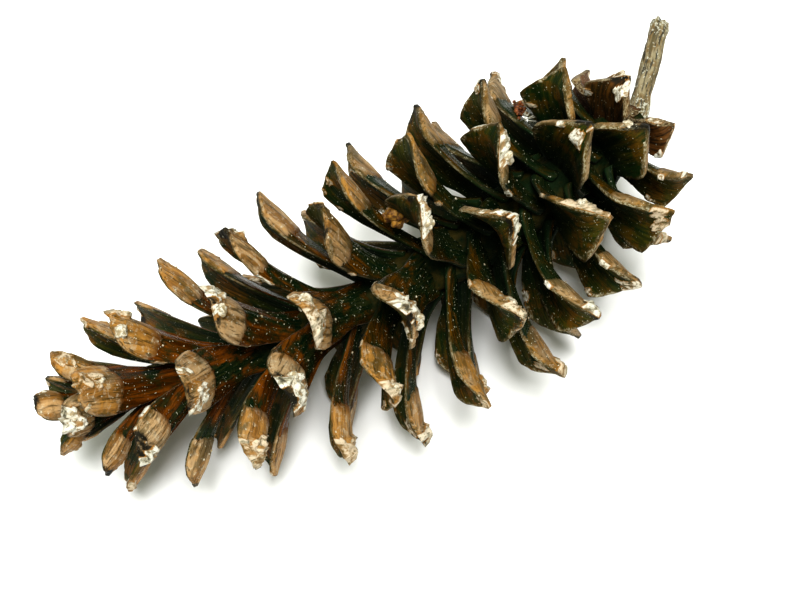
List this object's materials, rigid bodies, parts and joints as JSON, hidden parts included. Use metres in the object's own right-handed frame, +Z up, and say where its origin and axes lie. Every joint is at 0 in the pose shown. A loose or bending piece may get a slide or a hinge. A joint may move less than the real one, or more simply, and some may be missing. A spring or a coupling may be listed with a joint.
{
  "type": "pine cone",
  "caption": "Slender open pine cone lying on its side, with cupped, resin-crusted scales in a spiral round a slightly bent core and a short broken stalk.",
  "frame": {"origin": "on the surface the cone lies on, under the middle of its bounding box", "axes": "+Z up; +X along the cone from its far tip to its stalk; the core bulges towards -Y"},
  "size_m": [0.1504, 0.0622, 0.058],
  "materials": {
    "cone_wood": "half-gloss red-brown and dark olive woody scales with tan ends and dried white resin",
    "stalk_bark": "dull olive-tan wrinkled bark"
  },
  "bodies": {
    "root": {"cone": "cone_wood", "stalk": "stalk_bark"}
  },
  "joints": []
}
